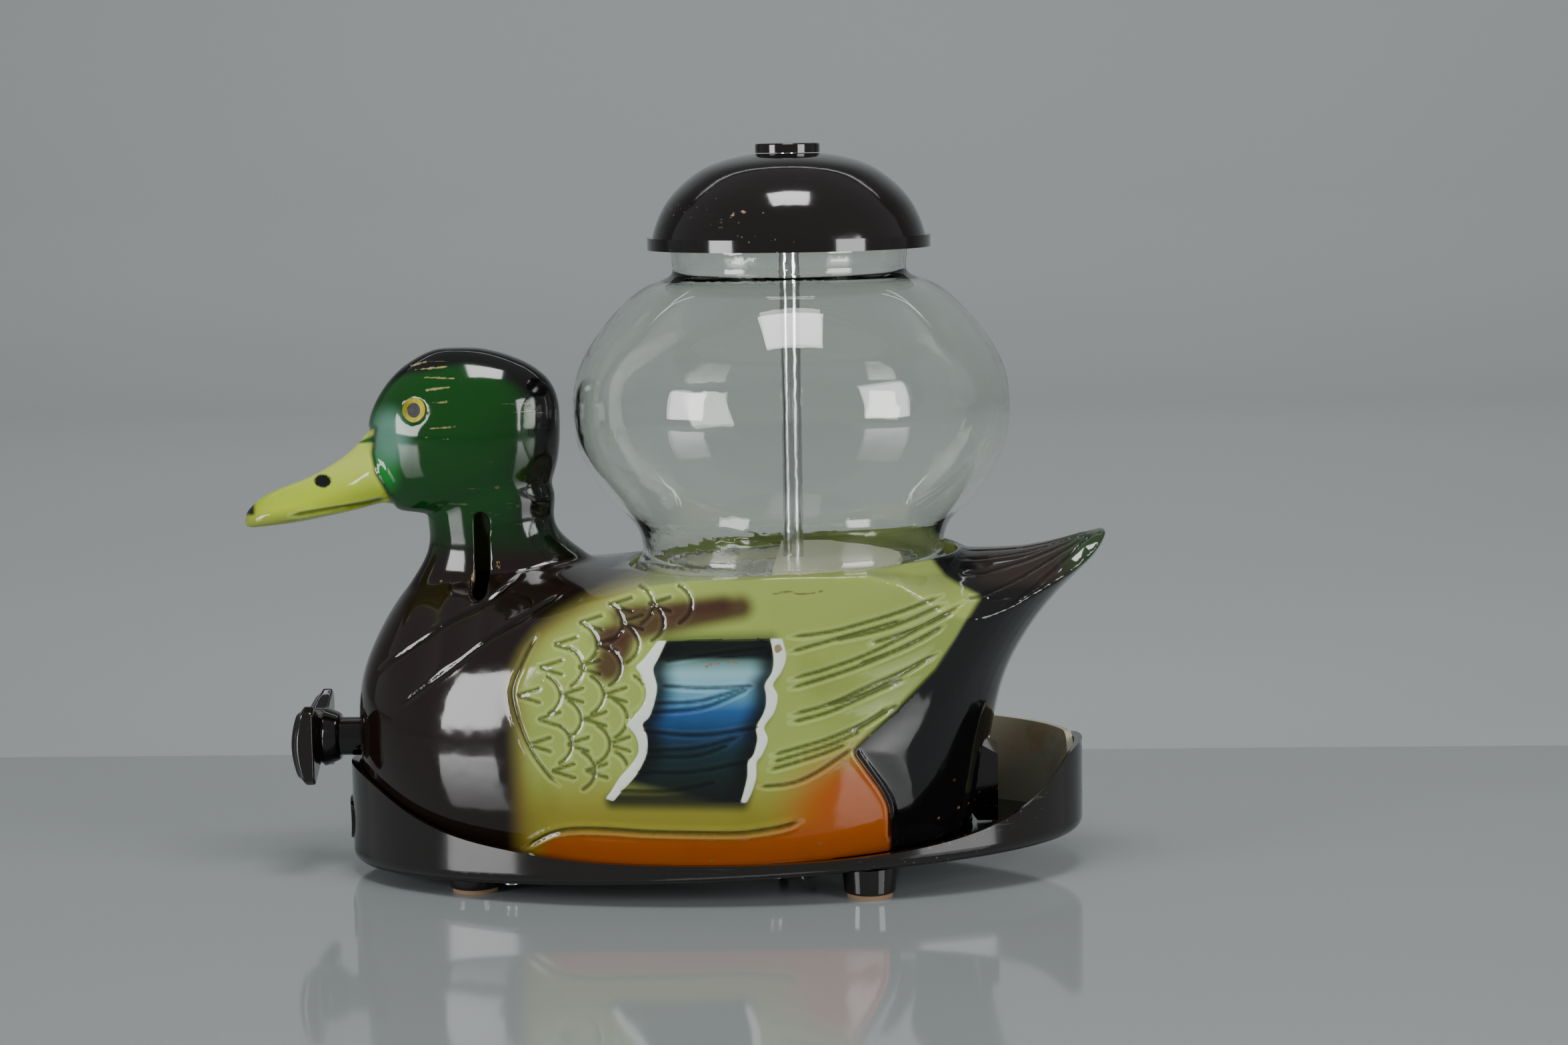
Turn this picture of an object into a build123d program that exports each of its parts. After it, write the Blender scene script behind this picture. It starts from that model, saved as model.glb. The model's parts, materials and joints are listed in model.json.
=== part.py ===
from build123d import *
import math
import os

# A duck-shaped sweet or nut dispenser and coin bank. The knob in the breast turns a
# pocketed wheel under the glass globe, and sweets drop through a chute into the tray.
# +X runs from bill to tail, +Y is the duck's right, +Z is up, and the surface is Z = 0.
# All lengths are in millimetres and all angles in degrees.

# Overall
TILT = 2.1                # nose-down pitch of the duck and its tray
AXIS_X = 46.0             # upright axis of the rod, globe and lid
BILL_TIP_X = -167.0
GAP = 0.3                 # between pieces that move past each other
RUN = 0.05                # radial clearance of a running fit

# Tray
TRAY_CENTRE_X = 14.5
TRAY_LENGTH = 285.0
TRAY_WIDTH = 156.0
TRAY_UNDER = 10.2         # height of the underside at the upright axis
TRAY_FLOOR = 3.0
TRAY_WALL = 3.0
TRAY_CORNER = 5.0
TRAY_RIM = [(-131, 43.4), (-120, 41), (-105, 33), (-86, 25), (-60, 20), (-40, 17.6),
            (0, 16), (44, 16), (80, 17.8), (104, 20.8), (124, 26), (139, 34), (147, 42),
            (153, 48), (160, 49)]
PLAQUE_Z = 20.0
GUARD_TOP = 50.0
GUARD_THICK = 2.5
GUARD_CORNER = 9.0

# Feet
FOOT_TOP_R = 10.5
FOOT_LOW_R = 9.6
PAD_R = 8.5
PAD_HIGH = 1.5
FOOT_PLACES = {"front_left": (-75, -44), "front_right": (-75, 44),
               "rear_left": (75, -57), "rear_right": (75, 57)}

# Duck shell
WALL = 2.8
RIM_Z = 122.3             # height of the body rim at the upright axis
RIM_R = 65.5
RIM_BORE_R = 63.3
LEDGE_Z = 110.0
LEDGE_HIGH = 3.0
LEDGE_BORE_R = 57.5
SLOT_X = -73.0
SLOT_WIDE = 5.2
SLOT_LOW = 109.0
SLOT_HIGH = 141.0
EXIT_LOW = 18.0
EXIT_HIGH = 50.0
EXIT_HALF = 16.0

# Horizontal slices of the trunk: height, front, back, half width and front fullness
TRUNK = [(-4, -96, 98, 58, 2.1), (14, -113, 112, 67, 2.15), (30, -120.5, 118.4, 71, 2.2),
         (46, -123.7, 120.7, 72.5, 2.2), (62, -124.2, 123.8, 72.5, 2.15),
         (76, -122.8, 127.8, 72.3, 2.05), (88, -118.6, 133.8, 71.8, 1.95),
         (98, -113.5, 140.5, 70.8, 1.85), (108, -107, 149, 69.6, 1.8),
         (117, -100, 158.4, 68.4, 1.75), (124, -95, 164.4, 67.2, 1.7), (132, -90, 166.8, 66, 1.7)]
# Back of the trunk: station, height on the centre line, drop per square of half width
BACK = [(-135, 92, 0.03), (-122, 96, 0.03), (-112, 105, 0.027), (-100, 113, 0.022),
        (-86, 119, 0.0155), (-70, 121.5, 0.0105), (-50, 121.5, 0.006), (-30, 121, 0.003),
        (-10, 121.5, 0.0012), (10, 122.6, 0.0006), (46, 124.5, 0.0006), (75, 124.9, 0.0007),
        (88, 124.8, 0.0016), (98, 124.4, 0.0035), (107, 123.9, 0.0066), (116, 123.5, 0.0098),
        (126, 123.6, 0.012), (135, 124.1, 0.0138), (143, 125.4, 0.0165), (150, 127, 0.021),
        (157, 129.2, 0.032), (163, 130.6, 0.055), (172, 130.9, 0.08)]
# Horizontal slices of the neck and the head: height, front, back and half width
NECK = [(78, -120, -30, 32), (92, -115.5, -26, 28), (104, -109, -26, 23.5),
        (113, -103, -27.5, 20.5), (121, -98, -32, 18.5), (129, -95.4, -42, 17.4),
        (137, -95.8, -46.6, 17.2), (148, -97, -46.2, 18), (160, -98, -45.4, 18.5)]
HEAD = [(139.4, -103.5, -72, 7), (141.4, -109, -62, 12), (146, -112, -51.5, 17),
        (154, -115.6, -46, 20.6), (164, -117.3, -44, 22.3), (174, -118, -43.5, 22.4),
        (184, -114.4, -44.3, 20.6), (192, -108.8, -48.6, 17), (198, -101.8, -57, 12.2),
        (201.6, -95.4, -66.3, 8), (203.5, -88.6, -77, 3.6)]
# Upright sections of the bill: station, top, bottom and half width
BILL = [(-108, 172, 144, 13.5), (-119, 170.5, 142, 12.6), (-126, 163.8, 140.3, 11.7),
        (-135, 157.8, 138.4, 11.2), (-146, 152.4, 136.3, 11.4), (-156, 148.6, 135, 11.2),
        (-163, 144.4, 134.4, 8.8), (BILL_TIP_X, 140, 134.8, 3.4)]
EYE_PLACE = (-97.5, 18.4, 180.8)
EYE_FACING = (-0.32, 0.94, 0.10)
EYE_R = 4.7
BOSS_R = 4.5
BOSS_HIGH = 16.0
BOSS_PLACES = [(-60, -51.5), (-60, 51.5), (40, -59.5), (40, 59.5)]
SCREW_R = 1.5

# Globe and lid, as radius and height
GLASS = 2.4
GLOBE_FOOT_Z = 117.3
GLOBE_TOP_Z = 242.0
GLOBE = [(60.6, GLOBE_FOOT_Z), (60.6, 119.8), (58.6, 122.6), (58.2, 127), (60.4, 134), (67, 141.5),
         (74.6, 150.6), (80.2, 160), (83.2, 169.5), (84, 179.5), (83.2, 189), (80.2, 198),
         (74, 208), (64.8, 218.6), (55, 226), (48.5, 228.6), (45.4, 230.6), (44.9, 234),
         (44.9, GLOBE_TOP_Z)]
LID_R = 54.3
LID_LOW_Z = 240.0
LID_RIM_HIGH = 4.6
LID_TOP_Z = 275.9
LID_WALL = 2.5
LID_DOME = [(52.4, 244.6), (49.9, 252), (46.4, 258.3), (40.5, 264.7), (32.4, 270.5), (23, 274),
            (12.5, LID_TOP_Z), (0, LID_TOP_Z)]
NUT_R = 12.4
NUT_HIGH = 3.6

# Hopper, wheel and rod
ROD_R = 3.95
ROD_LOW_Z = 5.0
ROD_TOP_Z = 278.4
HOPPER_R = 62.9
HOPPER_Z = LEDGE_Z + LEDGE_HIGH
HOPPER_HIGH = 3.0
CUP_LOW_Z = 104.5
CUP_R = 39.0
CUP_WALL = 2.5
WHEEL_R = CUP_R - 0.5
WHEEL_LOW_Z = CUP_LOW_Z + CUP_WALL + 0.4
WHEEL_TOP_Z = HOPPER_Z + HOPPER_HIGH - 0.4
POCKETS = 6
POCKET_R = 8.6
POCKET_CIRCLE_R = 26.5
COVER_R = 41.6
COVER_EDGE_X = 39.6
COVER_HIGH = 5.2

# Knob shaft and gears: 8 teeth drive 16 pegs, so the wheel turns half as far
SHAFT_Z = 51.6
SHAFT_R = 7.5
SHAFT_THIN_R = 4.0
PINION_TEETH = 8
CROWN_PEGS = 16
PEG_CIRCLE_R = 24.0
PEG_R = 2.2
PEG_LOW_Z = 61.7
CROWN_Z = 68.0
CROWN_HIGH = 4.0
PINION_LOW_X = 19.2
PINION_WIDE = 4.0
PINION_TIP_R = 14.5
SLEEVE_R = 8.0
KNOB_FACE_X = -147.5
KNOB_HALF = 25.0

STEPS = 10
BIG = 500.0


def tilted(height, above):
    """Everything above or below the plane that is pitched with the duck."""
    block = Pos(0, 0, BIG / 2 if above else -BIG / 2) * Box(BIG, BIG, BIG)
    return Pos(AXIS_X, 0, height) * Rot(0, -TILT, 0) * block


def plane_z(height, x):
    """Height of a pitched plane at a station along the duck."""
    return height + (x - AXIS_X) * math.tan(math.radians(TILT))


def ring(outer, inner, low, high, x=AXIS_X):
    """An upright ring about the axis of the globe."""
    tube = Cylinder(outer, high - low) - Cylinder(inner, high - low)
    return Pos(x, 0, (low + high) / 2) * tube


def disc(radius, low, high, x=AXIS_X, y=0.0):
    """An upright solid disc or post."""
    return Pos(x, y, (low + high) / 2) * Cylinder(radius, high - low)


def bar(radius, low, high, z=SHAFT_Z):
    """A round bar along the duck, on the axis of the knob."""
    return Pos((low + high) / 2, 0, z) * Rot(0, 90, 0) * Cylinder(radius, high - low)


# ---- the duck's form ----

def slice_half(z, front, back, half, fullness=2.0, middle=0.5):
    """Half of a horizontal slice, on the +Y side of the centre plane."""
    widest = front + middle * (back - front)
    points = []
    for step in range(STEPS + 1):
        angle = math.pi * step / STEPS
        ahead = angle < math.pi / 2
        power = fullness if ahead else 2.0
        reach = widest - front if ahead else back - widest
        run = abs(math.cos(angle)) ** (2 / power)
        x = widest - reach * math.copysign(run, math.cos(angle))
        points.append((x, half * abs(math.sin(angle)) ** (2 / power)))
    points[0] = (front, 0)
    points[-1] = (back, 0)
    outline = Spline(*points) + Line(points[-1], points[0])
    return Plane.XY.offset(z) * make_face(outline)


def trunk_half(inset=0.0):
    """Half of the breast, body and tail."""
    slices = []
    for z, front, back, half, fullness in TRUNK:
        slices.append(slice_half(z, front + inset, back - inset, half - inset, fullness, 0.56))
    bulk = loft(slices)
    arches = []
    for x, top, drop in BACK:
        points = [(y, top - inset - drop * y * y) for y in (0, 20, 45, 80)]
        edge = Spline(*points, tangents=((1, 0), (1, -160 * drop)))
        sides = Polyline(points[-1], (80, -BIG), (0, -BIG), points[0])
        arches.append(Plane.YZ.offset(x) * make_face(edge + sides))
    return bulk & loft(arches, ruled=True)


def neck_half(inset=0.0):
    slices = [slice_half(z, front + inset, back - inset, half - inset)
              for z, front, back, half in NECK]
    return loft(slices)


def head_half(inset=0.0):
    slices = []
    for z, front, back, half in HEAD:
        if half > 2.4 * inset:
            slices.append(slice_half(z, front + inset, back - inset, half - inset))
    return loft(slices)


def bill_half():
    """Half of the bill, ridged at the face and flat at the tip."""
    sections = []
    for x, top, bottom, half in BILL:
        high = top - bottom
        edge = bottom + 0.32 * high
        upper = Spline((0, top), (0.45 * half, top - 0.16 * high), (0.85 * half, edge + 0.25 * high),
                       (half, edge), tangents=((1, -0.1), (0, -1)))
        lower = Spline((half, edge), (0.62 * half, bottom + 0.05 * high), (0, bottom),
                       tangents=((0, -1), (-1, 0)))
        sections.append(Plane.YZ.offset(x) * make_face(upper + lower + Line((0, bottom), (0, top))))
    return loft(sections)


def duck_half():
    """Half of the hollow shell on the +Y side, before the coin slot."""
    collar = ring(RIM_R, RIM_BORE_R, LEDGE_Z - 2, RIM_Z + 12)
    collar = collar + ring(RIM_R + 1.2, LEDGE_BORE_R, LEDGE_Z, LEDGE_Z + LEDGE_HIGH)
    right_side = Pos(0, BIG / 2, 0) * Box(BIG, BIG, BIG)
    collar = (collar - tilted(RIM_Z, True)) & right_side
    outer = trunk_half() + neck_half() + head_half() + bill_half()
    well = disc(RIM_BORE_R, LEDGE_Z + LEDGE_HIGH, RIM_Z + 40)
    hollow = trunk_half(WALL) + neck_half(WALL) + head_half(WALL)
    above_rim = tilted(RIM_Z, True) & (Pos(AXIS_X, 0, 0) * Box(2 * RIM_R + 5, BIG, BIG))
    shell = outer - hollow - well - above_rim + collar
    for x, y in BOSS_PLACES:
        if y > 0:
            top = plane_z(TRAY_UNDER + TRAY_FLOOR, x) + BOSS_HIGH
            shell = shell + disc(BOSS_R, 0, top, x, y) - disc(SCREW_R, -9, top - 2, x, y)
    shell = shell - tilted(TRAY_UNDER + TRAY_FLOOR, False)
    shell = shell - eye_frame(1) * (Pos(0, 0, 1.5) * Cylinder(EYE_R, 6.4))
    shell = shell - bar(SHAFT_R + 2.5, -140, -100)
    exit_hole = Pos(118, 0, (EXIT_LOW + EXIT_HIGH) / 2)
    return shell - exit_hole * Box(40, 2 * EXIT_HALF, EXIT_HIGH - EXIT_LOW)


def eye_frame(side):
    """The place of an eye, with its axis pointing out of the head."""
    x, y, z = EYE_PLACE
    ahead, across, up = EYE_FACING
    return Plane(origin=(x, side * y, z), z_dir=(ahead, side * across, up)).location


def eye(side):
    """The coloured disc at the bottom of the socket."""
    return eye_frame(side) * (Pos(0, 0, -1.1) * Cylinder(EYE_R - 0.05, 1.2))


def eye_lens(side):
    """The clear dome over it."""
    dome = Cylinder(EYE_R - 0.05, 6) & (Pos(0, 0, -4.2) * Sphere(6.4))
    dome = dome & (Pos(0, 0, 4.5) * Box(20, 20, 10))
    return eye_frame(side) * dome


def coin_slot():
    """The cutter for the slot through the left side of the neck."""
    straight = SLOT_HIGH - SLOT_LOW - SLOT_WIDE
    middle = (SLOT_LOW + SLOT_HIGH) / 2
    flat = SlotCenterToCenter(straight, SLOT_WIDE, rotation=90)
    return Pos(SLOT_X, -30, middle) * Rot(90, 0, 0) * extrude(flat, 24, both=True)


# ---- tray and feet ----

def tray_body(inset, low, high):
    oval = Ellipse(TRAY_LENGTH / 2 - inset, TRAY_WIDTH / 2 - inset)
    return Pos(TRAY_CENTRE_X, 0, low) * extrude(oval, high - low)


def above_tray_rim():
    """Everything above the rim, which dips along the sides."""
    edge = Spline(*TRAY_RIM)
    first, last = TRAY_RIM[0], TRAY_RIM[-1]
    frame = Polyline(last, (last[0] + 9, last[1]), (last[0] + 9, 120), (first[0] - 9, 120),
                     (first[0] - 9, first[1]), first)
    return extrude(Plane.XZ * make_face(edge + frame), TRAY_WIDTH, both=True)


def tray():
    outer = tray_body(0, -10, 70) - tilted(TRAY_UNDER, False)
    low_edge = outer.edges().sort_by(Axis.Z)[0]
    outer = fillet(low_edge, TRAY_CORNER)
    inner = tray_body(TRAY_WALL, -10, 80) - tilted(TRAY_UNDER + TRAY_FLOOR, False)
    body = outer - inner - above_tray_rim() - disc(ROD_R, 0, 30)
    for x, y in BOSS_PLACES:
        body = body - disc(SCREW_R, -5, 30, x, y)
    return body


def foot(place):
    x, y = place
    top = plane_z(TRAY_UNDER, x) + 1.0
    low = PAD_HIGH
    cone = Pos(x, y, (low + top) / 2) * Cone(FOOT_LOW_R, FOOT_TOP_R, top - low)
    cone = cone - tilted(TRAY_UNDER, True)
    cone = fillet(cone.edges().sort_by(Axis.Z)[0], 1.0)
    return cone - disc(2.4, -1, low + 1.6, x, y)


def foot_pads():
    pads = []
    for x, y in FOOT_PLACES.values():
        pads.append(disc(PAD_R, 0, PAD_HIGH, x, y) - disc(2.4, -1, 9, x, y))
    return Compound(children=pads)


def foot_screws():
    screws = []
    for x, y in FOOT_PLACES.values():
        screws.append(disc(2.2, 0.5, PAD_HIGH + 1.6, x, y))
    return Compound(children=screws)


def front_plaque():
    """A plain raised oval on the front wall of the tray."""
    skin = tray_body(-0.9, 0, 60) - tray_body(0, -5, 70)
    stamp = Pos(-128, 0, PLAQUE_Z) * Rot(0, 90, 0) * extrude(Ellipse(8.5, 12), 12, both=True)
    return skin & stamp


def nut_guard():
    """The curved cream wall round the far rear of the tray."""
    outside = TRAY_WALL + 0.2
    wall = tray_body(outside, 5, 70) - tray_body(outside + GUARD_THICK, 0, 80)
    wall = wall - tilted(TRAY_UNDER + TRAY_FLOOR, False)
    panel = Pos(32, GUARD_TOP / 2) * Rectangle(60, GUARD_TOP)
    near_top = panel.vertices().group_by(Axis.Y)[-1].sort_by(Axis.X)[0]
    panel = fillet(near_top, GUARD_CORNER)
    return wall & (Pos(122, 0, 0) * extrude(Plane.YZ * panel, 60))


# ---- globe, lid and rod ----

def globe():
    inner = [(r - GLASS, z) for r, z in GLOBE]
    outline = Spline(*GLOBE) + Line(GLOBE[-1], inner[-1]) + Spline(*reversed(inner))
    outline = outline + Line(inner[0], GLOBE[0])
    return Pos(AXIS_X, 0, 0) * revolve(Plane.XZ * make_face(outline), Axis.Z)


def lid():
    top = LID_LOW_Z + LID_RIM_HIGH
    outline = Polyline((0, LID_LOW_Z), (LID_R, LID_LOW_Z), (LID_R, top), LID_DOME[0])
    outline = outline + Spline(*LID_DOME[:-1]) + Polyline(LID_DOME[-2], (0, LID_TOP_Z), (0, LID_LOW_Z))
    solid = Pos(AXIS_X, 0, 0) * revolve(Plane.XZ * make_face(outline), Axis.Z)
    well = [(r - LID_WALL, z - LID_WALL) for r, z in LID_DOME[1:-1]]
    seat = GLOBE_TOP_Z + 0.3
    inside = Polyline((0, seat), (47.2, seat), (47.2, 246), well[0]) + Spline(*well)
    inside = inside + Polyline(well[-1], (0, well[-1][1]), (0, seat))
    hollow = Pos(AXIS_X, 0, 0) * revolve(Plane.XZ * make_face(inside), Axis.Z)
    mouth = disc(45.5, LID_LOW_Z - 1, seat)
    core = disc(39.5, LID_LOW_Z - 1, seat + 3)
    seat_ring = ring(47.2, 39.5, seat, seat + 2)
    return solid - hollow - mouth - core + seat_ring - disc(ROD_R + 0.4, 200, 300)


def lid_nut():
    low = LID_TOP_Z + GAP
    body = disc(NUT_R, low, low + NUT_HIGH)
    body = fillet(body.edges().filter_by(GeomType.CIRCLE).sort_by(Axis.Z)[-1], 0.7)
    return body - disc(ROD_R + RUN, low - 1, ROD_TOP_Z + GAP)


def centre_rod():
    rod = disc(ROD_R, ROD_LOW_Z, ROD_TOP_Z)
    neck = ring(ROD_R + 1, ROD_R - 0.5, 229.4, 230.8)
    return rod - neck


# ---- hopper and drive ----

def hopper_plate():
    top = HOPPER_Z + HOPPER_HIGH
    plate = disc(HOPPER_R, HOPPER_Z, top) + disc(CUP_R + CUP_WALL, CUP_LOW_Z, top)
    plate = plate + ring(HOPPER_R, 61.4, HOPPER_Z, top + 1.6)
    plate = plate - disc(CUP_R, CUP_LOW_Z + CUP_WALL, top + 1)
    plate = plate - disc(SLEEVE_R + 0.6, CUP_LOW_Z - 1, top)
    return plate - disc(POCKET_R + 1.4, CUP_LOW_Z - 1, top, AXIS_X + POCKET_CIRCLE_R)


def discharge_cover():
    low = HOPPER_Z + HOPPER_HIGH
    block = disc(COVER_R, low, low + COVER_HIGH)
    ahead = Pos(COVER_EDGE_X - 50, 0, low) * Box(100, 120, 30)
    block = block - ahead
    hollow = disc(COVER_R - 2.5, low - 1, low + COVER_HIGH - 2) - Pos(2.5, 0, 0) * ahead
    block = block - hollow + disc(ROD_R + 2.2, low + 0.4, low + COVER_HIGH)
    return block - disc(ROD_R + 0.1, 90, 140)


def dispensing_wheel():
    wheel = disc(WHEEL_R, WHEEL_LOW_Z, WHEEL_TOP_Z)
    for pocket in range(POCKETS):
        angle = math.radians(360 / POCKETS * pocket)
        x = AXIS_X + POCKET_CIRCLE_R * math.cos(angle)
        wheel = wheel - disc(POCKET_R, 90, 130, x, POCKET_CIRCLE_R * math.sin(angle))
    return wheel - disc(SLEEVE_R, 90, 130)


def wheel_sleeve():
    return ring(SLEEVE_R, ROD_R + RUN, CROWN_Z, WHEEL_TOP_Z)


def crown_gear():
    gear = ring(PEG_CIRCLE_R + 4, SLEEVE_R, CROWN_Z, CROWN_Z + CROWN_HIGH)
    for peg in range(CROWN_PEGS):
        angle = math.radians(360 / CROWN_PEGS * (peg + 0.5))
        x = AXIS_X + PEG_CIRCLE_R * math.cos(angle)
        gear = gear + disc(PEG_R, PEG_LOW_Z, CROWN_Z + 1, x, PEG_CIRCLE_R * math.sin(angle))
    return gear


def pinion():
    """A toothed wheel on the knob shaft, with one tooth upright at rest."""
    outline = Circle(7.2)
    tooth = make_face(Polyline((-1.8, 5), (1.8, 5), (1.6, 10), (0.9, PINION_TIP_R),
                               (-0.9, PINION_TIP_R), (-1.6, 10), close=True))
    for index in range(PINION_TEETH):
        outline = outline + Rot(0, 0, 360 / PINION_TEETH * index) * tooth
    outline = outline - Circle(SHAFT_THIN_R)
    return Pos(PINION_LOW_X, 0, SHAFT_Z) * extrude(Plane.YZ * outline, PINION_WIDE)


def thrust_collar():
    """Fixed on the rod, it carries the wheel sleeve."""
    return ring(SLEEVE_R, ROD_R, CROWN_Z - 5, CROWN_Z - 0.2)


def knob_shaft():
    return bar(SHAFT_R, -132, -96) + bar(SHAFT_THIN_R, -96, 30)


def shaft_bush():
    bush = bar(SHAFT_R + 2.5, -123, -104) + bar(SHAFT_R + 5, -110, -107)
    return bush - bar(SHAFT_R + RUN, -140, -90)


def shaft_clip():
    return bar(SHAFT_R + 3, -103.4, -102) - bar(SHAFT_R, -110, -100)


def shaft_bearing():
    """A pedestal on the tray floor that carries the inner end of the shaft."""
    floor = plane_z(TRAY_UNDER + TRAY_FLOOR, 9)
    post = Pos(9, 0, (floor + SHAFT_Z) / 2) * Box(8, 22, SHAFT_Z - floor + 4)
    foot_plate = Pos(9, 0, floor + 1) * Box(26, 40, 6)
    body = post + foot_plate + bar(11, 5, 13)
    body = body - tilted(TRAY_UNDER + TRAY_FLOOR, False)
    return body - bar(SHAFT_THIN_R + RUN, 0, 20)


def knob():
    """A bow-tie handle: two broad ends, a narrow waist and a hub behind."""
    side = [(0, 8.4), (8, 9.2), (16, 13.4), (21, 15.6), (KNOB_HALF, 13)]
    outline = Polyline(*side, (KNOB_HALF, -13), *[(y, -z) for y, z in reversed(side[:-1])])
    outline = outline + Polyline((0, -8.4), (0, 8.4))
    half = make_face(outline)
    face = half + mirror(half, Plane.YZ)
    plate = extrude(Plane.YZ * face, 5.5)
    plate = Pos(KNOB_FACE_X + 3, 0, SHAFT_Z) * plate
    bulge = extrude(Plane.YZ * offset(face, -1.5), -1.8, taper=30)
    bulge = Pos(KNOB_FACE_X + 3, 0, SHAFT_Z) * bulge
    low_x = KNOB_FACE_X + 8.5
    hub = Pos(low_x + 3.5, 0, SHAFT_Z) * Rot(0, 90, 0) * Cone(12, 9, 7)
    return plate + bulge + hub


def discharge_chute():
    """A sloping trough from the hole under the wheel to the rear of the duck."""
    outer = Polyline((60.5, CUP_LOW_Z), (60.5, 95), (77.5, 72), (116, 19), (124, 19), (124, 45),
                     (117, 49), (93, 84), (85, CUP_LOW_Z), close=True)
    inner = Polyline((62.5, CUP_LOW_Z + 5), (62.5, 95.7), (79.3, 73), (117, 21), (140, 21),
                     (140, 44), (120, 44), (115.6, 47.6), (91, 83), (83, CUP_LOW_Z + 5), close=True)
    block = extrude(Plane.XZ * make_face(outer), 13, both=True)
    way = extrude(Plane.XZ * make_face(inner), 11, both=True)
    return block - way


def globe_gasket():
    """A thin flat ring between the globe's foot and the hopper plate."""
    low = HOPPER_Z + HOPPER_HIGH
    return ring(60.9, 57.6, low, low + 1)


def shell_screws():
    """They hold the shell to the tray from underneath."""
    screws = []
    for x, y in BOSS_PLACES:
        under = plane_z(TRAY_UNDER, x)
        stem = disc(SCREW_R, under - 1, under + TRAY_FLOOR + 10, x, y)
        head = disc(3.2, under - 2.2, under + 1, x, y) - tilted(TRAY_UNDER, True)
        screws.append(stem + head)
    return Compound(children=screws)


def rod_foot_nut():
    top = plane_z(TRAY_UNDER, AXIS_X) - 0.2
    nut = extrude(RegularPolygon(7.5, 6), top - ROD_LOW_Z - 0.6)
    nut = Pos(AXIS_X, 0, ROD_LOW_Z + 0.4) * nut
    return nut - disc(ROD_R, 0, 20)


PIECES = {
    "tray": tray(),
    "foot_pads": foot_pads(),
    "foot_screws": foot_screws(),
    "front_plaque": front_plaque(),
    "nut_guard": nut_guard(),
    "globe": globe(),
    "lid": lid(),
    "lid_nut": lid_nut(),
    "centre_rod": centre_rod(),
    "hopper_plate": hopper_plate(),
    "discharge_cover": discharge_cover(),
    "dispensing_wheel": dispensing_wheel(),
    "wheel_sleeve": wheel_sleeve(),
    "crown_gear": crown_gear(),
    "pinion": pinion(),
    "thrust_collar": thrust_collar(),
    "knob_shaft": knob_shaft(),
    "shaft_bush": shaft_bush(),
    "shaft_clip": shaft_clip(),
    "shaft_bearing": shaft_bearing(),
    "knob": knob(),
    "discharge_chute": discharge_chute(),
    "rod_foot_nut": rod_foot_nut(),
    "globe_gasket": globe_gasket(),
    "shell_screws": shell_screws(),
    "eye_left": eye(-1),
    "eye_right": eye(1),
    "eye_lens_left": eye_lens(-1),
    "eye_lens_right": eye_lens(1),
}
half = duck_half()
PIECES["body_shell_right"] = half
PIECES["body_shell_left"] = mirror(half, Plane.XZ) - coin_slot()
for name, place in FOOT_PLACES.items():
    PIECES["foot_" + name] = foot(place)

os.makedirs("parts", exist_ok=True)
for name, shape in PIECES.items():
    export_step(shape, f"parts/{name}.step")
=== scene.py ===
import json
import math

import bmesh
import bpy
import numpy as np
from mathutils import Matrix, Vector
from mathutils.bvhtree import BVHTree


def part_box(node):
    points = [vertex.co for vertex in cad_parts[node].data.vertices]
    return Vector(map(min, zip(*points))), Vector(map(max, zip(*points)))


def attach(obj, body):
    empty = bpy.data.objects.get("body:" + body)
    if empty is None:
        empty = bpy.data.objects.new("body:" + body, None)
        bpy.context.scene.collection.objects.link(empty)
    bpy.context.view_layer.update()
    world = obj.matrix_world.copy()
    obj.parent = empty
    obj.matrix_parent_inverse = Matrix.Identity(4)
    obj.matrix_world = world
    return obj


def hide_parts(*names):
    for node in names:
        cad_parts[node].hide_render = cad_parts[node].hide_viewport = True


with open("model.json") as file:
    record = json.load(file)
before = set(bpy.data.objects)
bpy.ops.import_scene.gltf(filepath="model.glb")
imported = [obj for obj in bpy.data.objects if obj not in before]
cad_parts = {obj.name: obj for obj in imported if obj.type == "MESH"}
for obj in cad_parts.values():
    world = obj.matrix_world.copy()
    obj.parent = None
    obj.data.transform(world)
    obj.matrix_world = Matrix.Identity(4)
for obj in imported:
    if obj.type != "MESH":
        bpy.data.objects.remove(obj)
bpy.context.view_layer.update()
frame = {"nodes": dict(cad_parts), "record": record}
nodes = frame["nodes"]

MM = 0.001

# The camera, in millimetres and degrees
CAMERA_TARGET = (42.5, 0.0, 134.0)
CAMERA_DISTANCE = 1289.0
CAMERA_AZIMUTH = 2.5
CAMERA_ELEVATION = 6.7
CAMERA_ROLL = 0.9
CAMERA_LENS = 76.53
SENSOR_WIDTH = 36.0

# The stage, in metres and watts
STAGE_REACH = 6.0           # half the width of the table and the backdrop
TABLE_FRONT = -4.0
TABLE_BACK = 0.235          # where the table ends behind the duck
TABLE_TONES = ((0.265, 0.285, 0.29), (0.245, 0.265, 0.27))
BACKDROP_TONES = ((0.34, 0.36, 0.36), (0.325, 0.345, 0.345))
BACKDROP_OUTLINE = [(TABLE_BACK, -0.0005), (2.2, -0.0005), (2.5, 0.04), (2.75, 0.2), (2.9, 0.6),
                    (3.0, 5.0)]
LIGHTS = [                  # name, place, what it points at, width, height, power
    ("left_softbox", (-1.30, -1.0, 0.42), (0, 0, 0.15), 0.6, 0.66, 16),
    ("right_softbox", (1.35, -1.0, 0.50), (0.04, 0, 0.15), 0.75, 0.85, 19),
    ("top_softbox", (0.08, -0.35, 1.5), (0.04, 0, 0.1), 0.55, 0.5, 14),
    ("backdrop_light", (0, 1.3, 2.0), (0, 2.9, 0.6), 3.4, 0.6, 30)]
WORLD_COLOUR = (0.62, 0.64, 0.66, 1)
WORLD_STRENGTH = 0.40

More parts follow.
